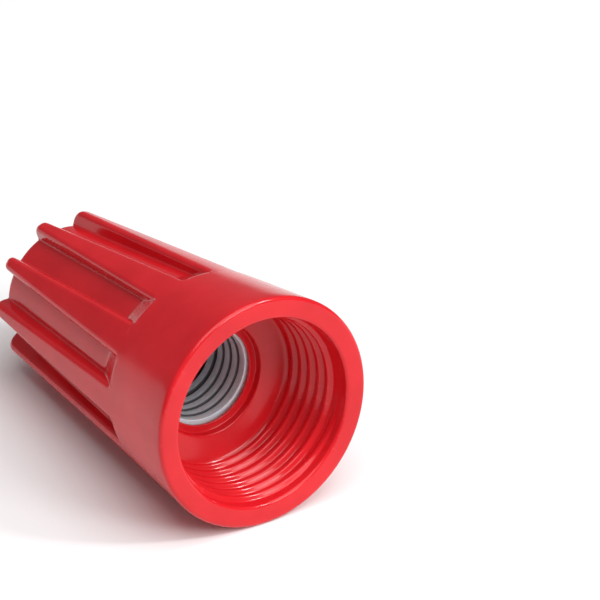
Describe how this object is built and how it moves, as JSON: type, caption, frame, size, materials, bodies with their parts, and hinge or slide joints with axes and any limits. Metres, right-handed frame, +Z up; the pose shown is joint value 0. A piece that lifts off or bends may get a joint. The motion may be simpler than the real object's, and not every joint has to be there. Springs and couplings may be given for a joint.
{
  "type": "twist-on wire connector",
  "caption": "Conical ribbed twist-on connector that joins stripped wire ends, with an internally threaded skirt and a tapered square-wire coil.",
  "frame": {"origin": "centre of the bounding box in plan, on the floor that the connector lies on", "axes": "+Z up; the connector lies on its side with its open mouth towards -Y and its tip towards +Y; X is across it"},
  "size_m": [0.0174, 0.0282, 0.0173],
  "materials": {
    "red_shell": "glossy moulded thermoplastic",
    "zinc_steel": "zinc plated, satin"
  },
  "bodies": {
    "root": {"shell": "red_shell", "grip_spring": "zinc_steel"}
  },
  "joints": []
}
